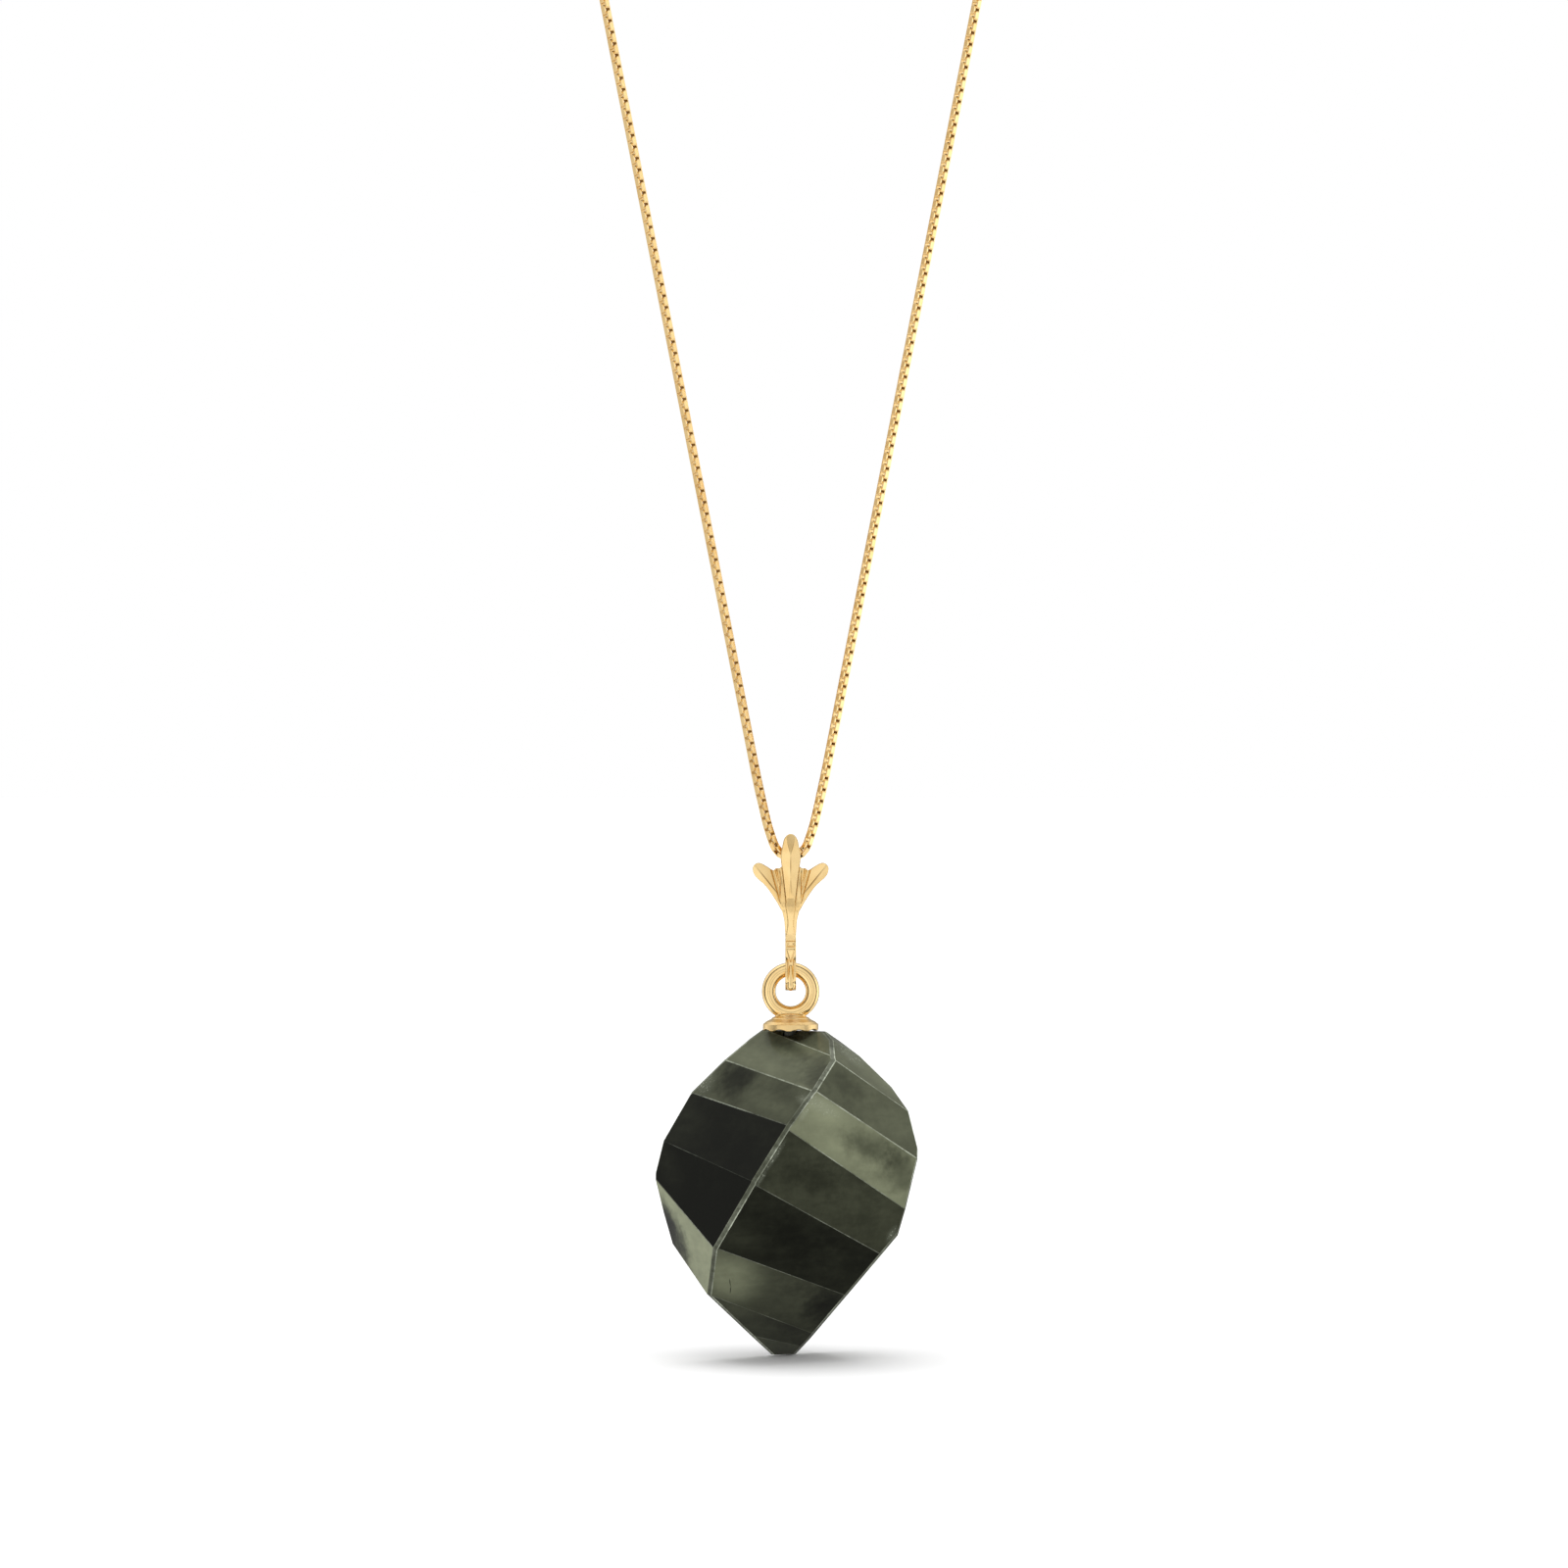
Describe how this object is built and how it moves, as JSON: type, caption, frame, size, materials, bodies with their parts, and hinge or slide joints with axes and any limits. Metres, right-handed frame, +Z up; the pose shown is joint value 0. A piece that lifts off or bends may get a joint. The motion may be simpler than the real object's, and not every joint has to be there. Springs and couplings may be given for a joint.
{
  "type": "gemstone pendant necklace",
  "caption": "Fine box chain necklace with a three-leaf bail, a capped ring and a large twisted faceted dark green-grey stone pendant.",
  "frame": {"origin": "underside of the loop's crown, where a neck carries the necklace", "axes": "+Z up along the hanging loop, -Y towards the pendant's front, +X to the right of a viewer in front"},
  "size_m": [0.0684, 0.0112, 0.2308],
  "materials": {
    "chain_gold": "polished yellow gold",
    "cast_gold": "polished cast yellow gold",
    "green_stone": "polished opaque stone"
  },
  "bodies": {
    "necklace": {"chain": "chain_gold", "clasp": "cast_gold", "end_ring_left": "cast_gold", "end_ring_right": "cast_gold"},
    "bail": {"bail": "cast_gold"},
    "drop": {"stone_cap": "cast_gold", "stone": "green_stone"}
  },
  "joints": [
    {"name": "bail_swing", "type": "hinge", "parent": "necklace", "child": "bail", "pos_m": [0, 0, -0.20509], "axis": [1, 0, 0], "range_deg": [-45, 60]},
    {"name": "drop_swing", "type": "hinge", "parent": "bail", "child": "drop", "pos_m": [0, 0, -0.21123], "axis": [0, 1, 0], "range_deg": [-60, 60]}
  ]
}
